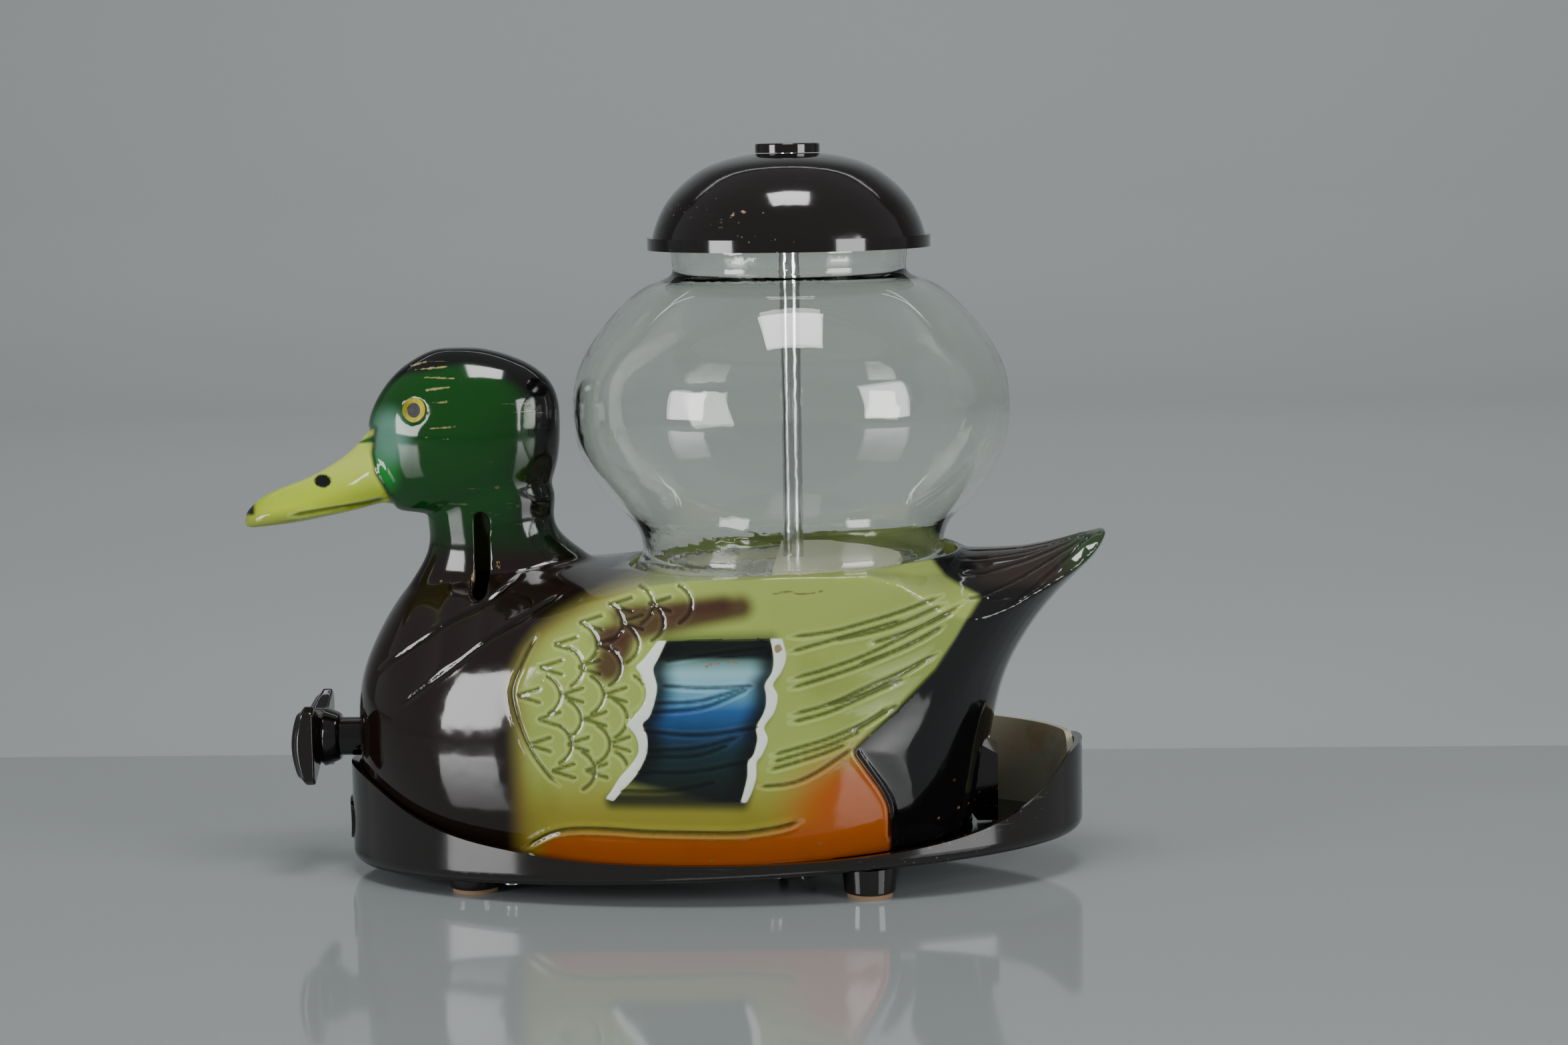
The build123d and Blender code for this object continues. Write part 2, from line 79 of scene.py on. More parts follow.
# Plain moulding colours, linear
DARK = (0.0075, 0.0050, 0.0042)
TRAY_DARK = (0.0085, 0.0056, 0.0044)

# The duck's skin, in millimetres
SKIN_VOXEL = 0.86           # spacing of its points
SKIN_RELAX = 12             # smoothing steps over all of it
SOFT_RELAX = 60             # more steps where the form is soft
INNER_KEPT = 0.06           # share of the faces kept inside the shell
FAR = 4.0                   # stands for any distance from a line that no longer matters
RELIEF_LOW, RELIEF_HIGH = -1.1, 0.5
GROOVE_WIDE, GROOVE_DEEP = 0.62, 0.55
RIDGE_AWAY, RIDGE_WIDE = 1.7, 0.8    # the raised lip beside each groove
BAR_RISE = 0.35
RUMP_STEP = 0.9
BILL_EDGE_DEEP, BILL_EDGE_WIDE = 0.55, 0.9
NOSTRIL_DEEP = 0.25
TAIL_GROOVE_DEEP, TAIL_GROOVE_WIDE = 0.6, 0.8

# The eyes, the knob and the lid, in millimetres
EYE_FACING = (-0.32, 0.94, 0.10)
EYE_SOCKET_R = 9.0
EYE_KEPT_R = 5.6
PUPIL_R = 2.7
PUPIL_EDGE = 0.06           # share of the radius over which the pupil fades out
KNOB_VOXEL = 0.45
KNOB_RELAX = 30
KNOB_DOME = 4.6
KNOB_FLAT = 0.35            # share of the dome by which the top and bottom edges are set back
KNOB_TAPER = 0.35           # how much of the dome is lost towards the knob's two ends
KNOB_FRONT = (5.5, 1.5)     # behind the knob's face: where the doming starts, and where it is full
LID_CHIPS = [((27, -45.7, 253), 1.6), ((23, -44.6, 251), 0.9), ((31, -45.8, 254.6), 0.7),
             ((70, -40, 256), -0.4)]    # place and size


# ---- small helpers ----

def smooth(low, high, value):
    """0 below low, 1 above high, and a smooth ramp between them."""
    t = np.clip((value - low) / (high - low), 0.0, 1.0)
    return t * t * (3.0 - 2.0 * t)


def link(obj):
    bpy.context.scene.collection.objects.link(obj)
    return obj


def mesh_object(name, vertices, faces):
    mesh = bpy.data.meshes.new(name)
    mesh.from_pydata([tuple(v) for v in vertices], [], [tuple(f) for f in faces])
    mesh.update()
    mesh.shade_smooth()
    return link(bpy.data.objects.new(name, mesh))


def bake_modifiers(obj):
    """Replaces the mesh with what its modifiers make."""
    graph = bpy.context.evaluated_depsgraph_get()
    made = bpy.data.meshes.new_from_object(obj.evaluated_get(graph))
    obj.modifiers.clear()
    obj.data = made
    return obj


def points_of(mesh):
    co = np.empty(len(mesh.vertices) * 3, np.float32)
    mesh.vertices.foreach_get("co", co)
    return co.reshape(-1, 3).astype(float)


def normals_of(mesh):
    no = np.empty(len(mesh.vertices) * 3, np.float32)
    mesh.vertex_normals.foreach_get("vector", no)
    return no.reshape(-1, 3).astype(float)


def store(mesh, name, values):
    """Keeps one number, or one colour, for each point of a mesh."""
    values = np.asarray(values, np.float32)
    if values.ndim == 1:
        layer = mesh.attributes.new(name, "FLOAT", "POINT")
        layer.data.foreach_set("value", values)
    else:
        layer = mesh.attributes.new(name, "FLOAT_COLOR", "POINT")
        full = np.ones((len(values), 4), np.float32)
        full[:, :3] = values
        layer.data.foreach_set("color", full.ravel())


def curve_points(points, step=1.5):
    """A smooth line through a few points, as a Catmull-Rom curve."""
    p = np.array(points, float)
    ends = np.vstack([2 * p[0] - p[1], p, 2 * p[-1] - p[-2]])
    out = []
    for i in range(len(p) - 1):
        a, b, c, d = ends[i:i + 4]
        n = max(2, int(np.linalg.norm(c - b) / step) + 1)
        t = np.linspace(0, 1, n, endpoint=False)[:, None]
        out.append(0.5 * (2 * b + (c - a) * t + (2 * a - 5 * b + 4 * c - d) * t ** 2
                          + (3 * b - a - 3 * c + d) * t ** 3))
    out.append(p[-1:])
    return np.vstack(out)


def line_distance(points, line, reach=4.0):
    """Distance from each point to a polyline, and how far along it the nearest place is."""
    best = np.full(len(points), 1e3)
    along = np.zeros(len(points))
    line = np.asarray(line, float)
    lengths = np.linalg.norm(np.diff(line, axis=0), axis=1)
    total = lengths.sum()
    low, high = line.min(0) - reach, line.max(0) + reach
    near = np.where(((points > low) & (points < high)).all(1))[0]
    q = points[near]
    run = 0.0
    nearest, place = np.full(len(q), 1e9), np.zeros(len(q))
    for a, b, length in zip(line[:-1], line[1:], lengths):
        if length < 1e-9:
            continue
        way = (b - a) / length
        t = np.clip((q - a) @ way, 0, length)
        d = np.linalg.norm(q - a - t[:, None] * way, axis=1)
        closer = d < nearest
        nearest = np.where(closer, d, nearest)
        place = np.where(closer, (run + t) / total, place)
        run += length
    best[near] = nearest
    along[near] = place
    return best, along


def inside(points, polygon):
    """Which points lie within a closed polygon."""
    x, y = points[:, 0], points[:, 1]
    hit = np.zeros(len(points), bool)
    px, py = np.asarray(polygon, float).T
    for i in range(len(px)):
        x1, y1, x2, y2 = px[i - 1], py[i - 1], px[i], py[i]
        if y1 == y2:
            continue
        crosses = (y1 > y) != (y2 > y)
        hit ^= crosses & (x < (x2 - x1) * (y - y1) / (y2 - y1) + x1)
    return hit


def signed_distance(points, polygon, reach=4.0):
    """Distance to the edge of a closed polygon, negative inside it."""
    ring = np.vstack([polygon, polygon[:1]])
    distance, _ = line_distance(points, ring, reach)
    distance = np.minimum(distance, reach)
    return np.where(inside(points, polygon), -distance, distance)


# ---- shader building ----

class Shader:
    """A material made of nodes, with short calls for the ones that repeat."""

    def __init__(self, name):
        self.material = bpy.data.materials.new(name)
        self.material.use_nodes = True
        self.tree = self.material.node_tree
        self.tree.nodes.clear()
        self.output = self.tree.nodes.new("ShaderNodeOutputMaterial")
        self.surface = self.tree.nodes.new("ShaderNodeBsdfPrincipled")
        self.join(self.surface.outputs[0], self.output.inputs["Surface"])

    def join(self, source, target):
        self.tree.links.new(source, target)

    def put(self, value, socket):
        if isinstance(value, bpy.types.NodeSocket):
            self.join(value, socket)
        elif isinstance(value, (tuple, list)) and len(value) == 3 and socket.type == "RGBA":
            socket.default_value = (*value, 1.0)
        else:
            socket.default_value = value

    def set(self, **values):
        """Sets the surface's own sockets; an underscore stands for a space."""
        for key, value in values.items():
            self.put(value, self.surface.inputs[key.replace("_", " ")])
        return self

    def math(self, kind, a, b):
        node = self.tree.nodes.new("ShaderNodeMath")
        node.operation = kind
        for value, socket in zip((a, b), node.inputs):
            self.put(value, socket)
        return node.outputs[0]

    def add(self, base, value, share):
        """A number plus a share of another."""
        return self.math("ADD", base, self.math("MULTIPLY", value, share))

    def vector(self, kind, a, b=None):
        """A sum on vectors, which gives a number for a length or a distance."""
        node = self.tree.nodes.new("ShaderNodeVectorMath")
        node.operation = kind
        self.put(a, node.inputs[0])
        if b is not None:
            self.put(b, node.inputs[1])
        return node.outputs["Value" if kind in ("LENGTH", "DISTANCE") else "Vector"]

    def ramp(self, value, low, high, start=0.0, end=1.0):
        """A smooth step of value from low to high."""
        node = self.tree.nodes.new("ShaderNodeMapRange")
        node.interpolation_type = "SMOOTHSTEP"
        for item, socket in zip((value, low, high, start, end), node.inputs):
            self.put(item, socket)
        return node.outputs[0]

    def mix(self, factor, a, b):
        node = self.tree.nodes.new("ShaderNodeMix")
        node.data_type = "RGBA"
        self.put(factor, node.inputs[0])
        self.put(a, node.inputs[6])
        self.put(b, node.inputs[7])
        return node.outputs[2]

    def lay(self, mask, share, a, b):
        """Lays b over a where the mask is 1, at most by the share."""
        return self.mix(self.math("MULTIPLY", mask, share), a, b)

    def shade(self, colour, value, saturation=1.0):
        """The same colour made lighter or darker, and stronger or weaker."""
        node = self.tree.nodes.new("ShaderNodeHueSaturation")
        node.inputs["Value"].default_value = value
        node.inputs["Saturation"].default_value = saturation
        self.join(colour, node.inputs["Color"])
        return node.outputs[0]

    def place(self, scale=(1, 1, 1), turn=(0, 0, 0)):
        """Object coordinates, stretched and turned."""
        source = self.tree.nodes.new("ShaderNodeTexCoord")
        node = self.tree.nodes.new("ShaderNodeMapping")
        self.join(source.outputs["Object"], node.inputs["Vector"])
        node.inputs["Scale"].default_value = scale
        node.inputs["Rotation"].default_value = turn
        return node.outputs[0]

    def noise(self, scale, detail=3.0, rough=0.5, vector=None, distort=0.0):
        node = self.tree.nodes.new("ShaderNodeTexNoise")
        self.join(vector or self.place(), node.inputs["Vector"])
        node.inputs["Scale"].default_value = scale
        node.inputs["Detail"].default_value = detail
        node.inputs["Roughness"].default_value = rough
        node.inputs["Distortion"].default_value = distort
        return node.outputs[0]

    def streaks(self, stretch, turn, low, high, rough=0.65):
        """Long fine marks, drawn out along the axes that are stretched least."""
        return self.ramp(self.noise(1.0, 4, rough, self.place(stretch, turn)), low, high)

    def cells(self, scale, vector=None):
        node = self.tree.nodes.new("ShaderNodeTexVoronoi")
        self.join(vector or self.place(), node.inputs["Vector"])
        node.inputs["Scale"].default_value = scale
        return node.outputs[0]

    def attribute(self, name, colour=False):
        node = self.tree.nodes.new("ShaderNodeAttribute")
        node.attribute_name = name
        return node.outputs["Color" if colour else "Fac"]

    def bump(self, height, strength, distance):
        node = self.tree.nodes.new("ShaderNodeBump")
        node.inputs["Strength"].default_value = strength
        node.inputs["Distance"].default_value = distance
        self.join(height, node.inputs["Height"])
        return node.outputs[0]


def gloss_shader(name, colour, rough, wear):
    """A glossy moulding with fine scratches, dust and slightly orange-peeled polish."""
    s = Shader(name)
    cloud = s.noise(22, 4, 0.6)
    fine = s.noise(420, 3, 0.6)
    scratch = s.streaks((40, 40, 900), (0.3, 0.5, 0.2), 0.60, 0.74)
    patch = s.ramp(s.noise(9, 3, 0.55), 0.45, 0.7)
    scuff = s.math("MULTIPLY", scratch, patch)
    specks = s.ramp(s.cells(330), 0.16, 0.10)
    dust = s.math("MULTIPLY", specks, s.ramp(s.noise(14, 3), 0.52, 0.7))
    lighter = tuple(min(1.0, c * 1.6 + 0.02) for c in colour)
    tint = s.mix(cloud, colour, tuple(c * 0.75 for c in colour))
    tint = s.lay(scuff, 0.35 * wear, tint, lighter)
    tint = s.lay(dust, 0.4, tint, (0.30, 0.27, 0.22))
    roughness = s.add(s.add(rough, scuff, 0.22 * wear), cloud, 0.05)
    s.set(Base_Color=tint, Roughness=roughness, Coat_Weight=0.35, Coat_Roughness=0.06, IOR=1.5)
    s.set(Normal=s.bump(s.add(s.noise(60, 2), fine, 0.25), 0.06, 0.0006))
    return s


def satin_plastic(name, colour, stained=0.5):
    """A satin moulding that has yellowed and stained unevenly."""
    s = Shader(name)
    cloud = s.noise(18, 5, 0.6)
    blotch = s.ramp(s.noise(34, 5, 0.62, distort=0.6), 0.50, 0.72)
    tint = s.mix(cloud, colour, tuple(c * 0.9 for c in colour))
    tint = s.lay(blotch, stained, tint, (0.52, 0.42, 0.22))
    tint = s.lay(s.ramp(s.cells(260), 0.12, 0.07), 0.35, tint, (0.35, 0.27, 0.15))
    roughness = s.add(0.38, cloud, 0.12)
    s.set(Base_Color=tint, Roughness=roughness, IOR=1.47, Subsurface_Weight=0.06)
    s.set(Normal=s.bump(s.noise(300, 3), 0.10, 0.0004))
    return s.material


def bright_metal(name, colour, rough):
    """A drawn or plated metal with lengthwise marks."""
    s = Shader(name)
    marks = s.noise(60, 4, 0.6, s.place((30, 30, 4)))
    tint = s.mix(marks, colour, tuple(c * 0.82 for c in colour))
    tint = s.lay(s.ramp(s.cells(240), 0.14, 0.05), 0.5, tint, (0.20, 0.17, 0.14))
    s.set(Base_Color=tint, Roughness=s.add(rough, marks, 0.12), Metallic=1.0)
    s.set(Normal=s.bump(marks, 0.08, 0.0003))
    return s.material


def rubber(name, colour):
    s = Shader(name)
    grain = s.noise(500, 4, 0.6)
    tint = s.mix(s.noise(60, 4), colour, tuple(c * 0.6 for c in colour))
    s.set(Base_Color=tint, Roughness=s.add(0.6, grain, 0.25))
    s.set(Normal=s.bump(grain, 0.25, 0.0004))
    return s.material


def clear_glass(name, tint=(0.97, 1.0, 0.96), ior=1.46):
    """Clear, slightly uneven glass with a faint smear that only shows in its gloss."""
    s = Shader(name)
    smear = s.noise(16, 4, 0.6, s.place((1, 1, 2.4)))
    roughness = s.math("MULTIPLY", s.ramp(smear, 0.5, 0.8), 0.035)
    s.set(Base_Color=tint, Roughness=roughness, Transmission_Weight=1.0, IOR=ior)
    s.set(Normal=s.bump(s.noise(26, 2), 0.05, 0.001))
    return s.material


# ---- stage ----

def make_camera():
    az, el, roll = (math.radians(v) for v in (CAMERA_AZIMUTH, CAMERA_ELEVATION, CAMERA_ROLL))
    back = Vector((math.sin(az) * math.cos(el), -math.cos(az) * math.cos(el), math.sin(el)))
    level = Vector((math.cos(az), math.sin(az), 0.0))
    rise = back.cross(level)
    right = level * math.cos(roll) - rise * math.sin(roll)
    up = rise * math.cos(roll) + level * math.sin(roll)
    place = (Vector(CAMERA_TARGET) + back * CAMERA_DISTANCE) * MM
    camera = link(bpy.data.objects.new("camera", bpy.data.cameras.new("camera")))
    camera.matrix_world = Matrix((
        (right.x, up.x, back.x, place.x), (right.y, up.y, back.y, place.y),
        (right.z, up.z, back.z, place.z), (0, 0, 0, 1)))
    camera.data.lens = CAMERA_LENS
    camera.data.sensor_width = SENSOR_WIDTH
    camera.data.sensor_fit = "HORIZONTAL"
    camera.data.clip_start = 0.01
    bpy.context.scene.camera = camera
    return place / MM


def area_light(name, place, aim, wide, high, power):
    data = bpy.data.lights.new(name, "AREA")
    data.shape = "RECTANGLE"
    data.size, data.size_y = wide, high
    data.energy = power
    lamp = link(bpy.data.objects.new(name, data))
    way = Vector(aim) - Vector(place)
    turn = way.to_track_quat("-Z", "Y").to_matrix().to_4x4()
    lamp.matrix_world = Matrix.Translation(place) @ turn


def staged(name, vertices, faces, shader):
    """A piece of the stage with its own material."""
    obj = mesh_object(name, vertices, faces)
    obj.data.materials.append(shader.material)


def make_stage():
    top = Shader("studio_table")
    top.set(Base_Color=top.mix(top.noise(3, 3, 0.5), *TABLE_TONES), Roughness=0.07, IOR=1.5)
    corners = [(-STAGE_REACH, TABLE_FRONT, 0), (STAGE_REACH, TABLE_FRONT, 0),
               (STAGE_REACH, TABLE_BACK, 0), (-STAGE_REACH, TABLE_BACK, 0)]
    staged("table", corners, [(0, 1, 2, 3)], top)
    cloth = Shader("studio_backdrop")
    cloth.set(Base_Color=cloth.mix(cloth.noise(2, 2), *BACKDROP_TONES), Roughness=0.9)
    sweep = [(x, y, z) for y, z in BACKDROP_OUTLINE for x in (-STAGE_REACH, STAGE_REACH)]
    faces = [(2 * k, 2 * k + 1, 2 * k + 3, 2 * k + 2) for k in range(len(BACKDROP_OUTLINE) - 1)]
    staged("backdrop", sweep, faces, cloth)
    for light in LIGHTS:
        area_light(*light)
    world = bpy.data.worlds.new("studio")
    bpy.context.scene.world = world
    world.use_nodes = True
    background = world.node_tree.nodes["Background"]
    background.inputs[0].default_value = WORLD_COLOUR
    background.inputs[1].default_value = WORLD_STRENGTH


camera_place = make_camera()
make_stage()


# ---- the duck's skin ----
# Every line below is in millimetres on the duck's centre plane, along the duck and upwards, where
# it is seen from the camera. The far side is a mirror of the near one. The tail's grooves, the
# coin slot and the soft places are real places instead.

BROWN_EDGE = [(-64, -20), (-64, 58), (-66, 72), (-60, 84), (-54, 92), (-44, 99), (-33, 105.5),
              (-23, 110.5), (-14, 115), (-8, 124), (-20, 138), (-200, 138), (-200, -20)]
FOLD = [(-62, 6), (-57, 9), (-50, 12.3), (-42, 13.6), (-30, 13.5), (-10, 12.1), (20, 11.5),
        (30, 12.3), (40, 14), (48, 16.5)]
PATCH_EDGE = [(68.4, 43.5), (74, 35.5), (79, 28.2), (82, 21), (82, 8.5), (82, -20)]
WING_REAR = [(68.4, 44.5), (74, 50), (84.2, 59.3), (94.4, 69.7), (100.5, 75.9), (108.7, 88.4),
             (114.8, 98.8), (119, 106)]
RUMP_EDGE = PATCH_EDGE[::-1] + WING_REAR[:-1] + [
    (118, 104.5), (111, 108.3), (104.5, 112.5), (101, 117), (98, 121), (98, 136), (210, 165),
    (210, -20)]
LEFT_BAR_OUT = [(-7.4, 88), (-12.9, 81), (-15.9, 78), (-14.5, 75.6), (-12.3, 70), (-13, 64),
                (-17.2, 58.3), (-19.7, 55.3), (-16.4, 50.3), (-15.7, 44.3), (-19, 38.9),
                (-23, 34.5), (-26.9, 28.6), (-29, 26)]
LEFT_BAR_IN = [(-4.2, 88), (-7.6, 81), (-9.3, 78), (-9.4, 75.6), (-8.2, 70), (-9.3, 64),
               (-11.4, 58.3), (-14.1, 55.3), (-12.5, 50.3), (-12.6, 44.3), (-14.8, 38.9),
               (-17.6, 34.5), (-23, 28.6), (-26, 25)]
RIGHT_BAR_IN = [(36.6, 88.5), (37.7, 81.5), (37.1, 75.6), (34.2, 70.6), (34.6, 66.7),
                (34.5, 62.7), (33.3, 58.8), (30.6, 53.8), (30.9, 48.9), (29.3, 42.9),
                (27.1, 39.9), (26.7, 34), (25.2, 28), (23.9, 24)]
RIGHT_BAR_OUT = [(41.0, 88.5), (42.4, 81.5), (40.4, 75.6), (37.1, 70.6), (38.7, 66.7),
                 (38.4, 62.7), (36.9, 58.8), (33.4, 53.8), (34.7, 48.9), (32.4, 42.9),
                 (30.2, 39.9), (29.9, 34), (28.1, 28), (26.1, 24)]
SCALLOP_EDGE = [(-54, 91), (-58, 85), (-64, 72), (-64.5, 65), (-62, 55), (-58, 45), (-52, 36),
                (-47, 31)]
# The fish scales: for each height, how far along the tips are
SCALE_TIPS = {37: (-50, -37), 47.5: (-59, -44, -28), 57.5: (-55, -37), 67: (-63, -46, -29),
              78: (-54, -39), 87: (-48, -32), 95.5: (-38, -22), 102.5: (-26, -11)}
SCALE_LONG = 17.0
SCALE_TALL = 9.2
SCALE_TURN = 1.0            # half the angle that each scale's edge goes round
SCALE_BACK = 5.0            # from a scale's tip to the middle of its edge
MARK_LONG = 9.5             # the two short strokes from each tip
MARK_TALL = 3.0
PANEL_LINES = [
    [(-6, 80), (12, 82.6), (36, 85.5)], [(-5, 87.4), (16, 88.6), (38, 88.8)],
    [(-7, 70.5), (10, 69.4), (30, 70)], [(-10, 63.5), (8, 64.2), (27, 69.5)],
    [(-11, 60), (10, 61.8), (28, 69)], [(-17, 53), (8, 50.8), (33, 54)],
    [(-14, 45), (6, 45.6), (24, 50)], [(-14, 42.6), (6, 42.6), (20, 47)],
    [(-19, 36.7), (4, 36.2), (28, 40.5)], [(-25, 29), (-4, 28.8), (15, 32.5)]]
WING_LINES = [
    [(43.4, 89), (59.7, 91), (74, 94.6), (89.3, 99.3), (103.6, 105)],
    [(43.4, 83), (74, 91.5), (89, 95.6)],
    [(43.4, 72.3), (58.7, 76.5), (74, 82), (89.3, 89.4), (104.6, 97.7), (112, 102.6)],
    [(43.4, 68.7), (63.8, 74.9), (79, 80.6), (99.5, 89.9)],
    [(43.4, 58.3), (58.7, 62.4), (74, 69.2), (89.3, 75.9), (102, 82.6)],
    [(43.4, 55.3), (58.7, 59.4), (74, 66.0), (89.3, 72.8)],
    [(36, 42.4), (45, 44.9), (58.7, 49), (74, 55.7), (83, 61.9)],
    [(36, 39.6), (45, 42.2), (58.7, 46.4), (72, 52.0)],
    [(35, 36.6), (45, 39.4), (57, 43.2), (66, 47.0)],
    [(60, 87.4), (82, 92.2), (105, 101.6)], [(75, 86.0), (95, 92.6), (108, 98.6)],
    [(56, 61.4), (75, 67.4), (97, 79.6)], [(68, 51.4), (86, 62.2)],
    [(70, 78.0), (88, 84.4), (104, 93.0)],
    [(31, 30), (43.4, 31.3), (53.6, 35.5), (68.4, 45.3)]]
BREAST_LINES = [
    [(-118.9, 76), (-90.6, 95), (-75, 103), (-58, 116)],
    [(-111, 62), (-91, 76.5), (-71, 91), (-50.4, 103.5), (-41.6, 109)]]
# Brown airbrush strokes: a line and half its width
BLOTCHES = [([(-28, 90), (0, 96), (25, 101)], 4.6), ([(-22, 99), (18, 102)], 3.4),
            ([(-27, 78), (-23, 86)], 6.0)]
CRACK = [(38, 106.2), (44, 106.9), (49, 105.9), (57, 107.0)]
BILL_CREASE = [(-116, 172.2), (-117.3, 162.7), (-116, 155), (-113.3, 150), (-110, 143.7),
               (-108, 136)]
BILL_RING = BILL_CREASE + [(-210, 122), (-210, 172.2)]
BILL_FEATHERS = [(-110, 173), (-123.5, 166.6), (-116, 166.8), (-110, 168)]
MOUTH = [(-150, 138.6), (-138.7, 140.3), (-122, 142.8), (-111, 145.3)]
NOSTRIL = (-136.6, 152.2, 3.3, 2.6)      # middle and half sizes
# The blue panel's colours, as displayed, at each height
PANEL_COLOURS = [(24, (6, 9, 8)), (33, (12, 26, 24)), (44, (14, 40, 44)), (52, (22, 58, 92)),
                 (60, (34, 84, 138)), (66, (86, 144, 172)), (75, (138, 184, 192)),
                 (79.5, (96, 130, 126)), (81.5, (14, 22, 18)), (89, (10, 16, 13))]
TAIL_TIP = 168.0
TAIL_GROOVES = (0.12, 0.3, 0.5, 0.72, 0.95)
SLOT_X = -73.0
SLOT_KEPT = 6.0             # on either side of the coin slot nothing is softened
SLOT_LOW, SLOT_HIGH = 104.0, 146.0
# Where the form is soft: along, up, and how far round
SOFT_PLACES = [(-46, 146, 20), (-62, 146, 16), (-104, 146, 12), (-100, 110, 26), (-40, 124, 18),
               (-112, 84, 24), (-80, 178, 44), (-128, 152, 22)]
SCRATCHES = [[(-99, 195), (-87, 196)], [(-96, 192), (-84, 191.4)], [(-95, 187), (-86, 188)],
             [(-93, 182), (-85, 182.6)], [(-94, 172), (-84, 172.8)], [(-96, 168.5), (-87, 168)],
             [(-101, 196.5), (-95, 198)]]
# Chips in the paint: middle and half sizes
CHIPS = [(15, 79, 5.5, 1.5), (21, 79.5, 3.5, 1.2), (12, 78.2, 3, 1.2), (39.5, 85, 2.0, 2.4),
         (-78, 114, 2.2, 4.2), (-69, 118.5, 1.8, 3.4), (-76, 109, 1.6, 1.8)]


def tone(r, g, b):
    """A display colour from 0 to 255 as a linear one."""
    c = np.array((r, g, b), float) / 255.0
    return np.where(c <= 0.04045, c / 12.92, ((c + 0.055) / 1.055) ** 2.4)


# The airbrush colours, as displayed, from 0 to 255, with a painted sheen for the cheek and a
# painted highlight for the brow
HUES = {name: tone(*shown) for name, shown in {
    "wing": (146, 164, 80), "wing_top": (154, 168, 92), "wing_low": (134, 128, 38),
    "orange": (158, 78, 12), "patch": (164, 80, 12), "brown_haze": (112, 84, 38),
    "brown": (25, 16, 13), "blotch": (66, 38, 30), "panel_shade": (6, 9, 9),
    "panel_haze": (34, 44, 26), "panel_foot": (8, 14, 10), "rump": (14, 13, 13),
    "tail_top": (42, 34, 28), "tail_end": (40, 62, 34), "head": (6, 62, 12),
    "head_low": (5, 30, 8), "crown": (11, 11, 10), "nape": (12, 12, 11), "cheek_sheen": (24, 120, 40),
    "brow_highlight": (104, 150, 132), "bill": (160, 180, 44), "bill_top": (176, 192, 84),
    "bill_low": (134, 146, 66), "bill_nail": (12, 14, 10), "bill_feathered": (22, 84, 26),
    "bill_line": (8, 34, 12), "nostril_dark": (10, 10, 9), "skin_blank": (146, 160, 86)}.items()}


def over(base, colour, mask):
    """Lays a colour, or one colour a point, over a painted base."""
    mask = np.clip(mask, 0, 1)[:, None]
    return base * (1 - mask) + np.asarray(colour) * mask


def ellipse(q, x, z, rx, rz):
    return np.hypot((q[:, 0] - x) / rx, (q[:, 1] - z) / rz)


def box_middle(name):
    low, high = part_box(name)
    return np.array((low + high) / 2) / MM


def seen_place(p):
    """Where each point is seen on the centre plane, in mm; the far side is folded over first."""
    reach = camera_place.y / (camera_place.y + np.abs(p[:, 1]))
    u = camera_place.x + reach * (p[:, 0] - camera_place.x)
    w = camera_place.z + reach * (p[:, 2] - camera_place.z)
    return np.stack((u, w), 1)


def shell_source():
    """Both CAD half shells as one closed mesh, without the faces where they meet."""
    source = bmesh.new()
    for name in ("body_shell_left", "body_shell_right"):
        source.from_mesh(nodes[name].data)
    seam = [f for f in source.faces if all(abs(v.co.y) < 2e-6 for v in f.verts)]
    bmesh.ops.delete(source, geom=seam, context="FACES")
    bmesh.ops.remove_doubles(source, verts=source.verts, dist=3e-5)
    return source


def fine_skin():
    """A fine even mesh over the shell, inside and out."""
    source = shell_source()
    mesh = bpy.data.meshes.new("skin_source")
    source.to_mesh(mesh)
    obj = link(bpy.data.objects.new("skin_source", mesh))
    remesh = obj.modifiers.new("even", "REMESH")
    remesh.mode = "VOXEL"
    remesh.voxel_size = SKIN_VOXEL * MM
    relax = obj.modifiers.new("relax", "SMOOTH")
    relax.factor = 0.5
    relax.iterations = SKIN_RELAX
    bake_modifiers(obj)
    p = points_of(obj.data) / MM
    softer = np.zeros(len(p))
    for x, z, radius in SOFT_PLACES:
        softer = np.maximum(softer, smooth(1.0, 0.45, np.hypot(p[:, 0] - x, p[:, 2] - z) / radius))
    slot = (np.abs(p[:, 0] - SLOT_X) < SLOT_KEPT) & (p[:, 2] > SLOT_LOW) & (p[:, 2] < SLOT_HIGH)
    softer[slot] = 0
    for name in ("eye_left", "eye_right"):
        away = np.linalg.norm(p - box_middle(name), axis=1)
        softer *= smooth(EYE_KEPT_R - 1.0, EYE_KEPT_R + 1.5, away)
    group = obj.vertex_groups.new(name="softer")
    for level in range(1, 5):
        members = np.where((softer > (level - 0.5) / 4) & (softer <= (level + 0.5) / 4))[0]
        group.add([int(i) for i in members], level / 4, "REPLACE")
    blend = obj.modifiers.new("blend", "SMOOTH")
    blend.vertex_group = "softer"
    blend.iterations = SOFT_RELAX
    bake_modifiers(obj)
    obj.vertex_groups.clear()
    return obj


def outside_of(mesh):
    """Which points are on the outside: a ray straight out to their own side meets no skin."""
    points, normals = points_of(mesh), normals_of(mesh)
    tree = BVHTree.FromPolygons([tuple(v) for v in points],
                                [tuple(f.vertices) for f in mesh.polygons])
    start = points + normals * 0.3 * MM
    free = np.zeros(len(points), bool)
    left, right = Vector((0, -1, 0)), Vector((0, 1, 0))
    for i, p in enumerate(start):
        way = right if p[1] > 0 else left
        free[i] = tree.ray_cast(Vector(p), way)[0] is None
    return free


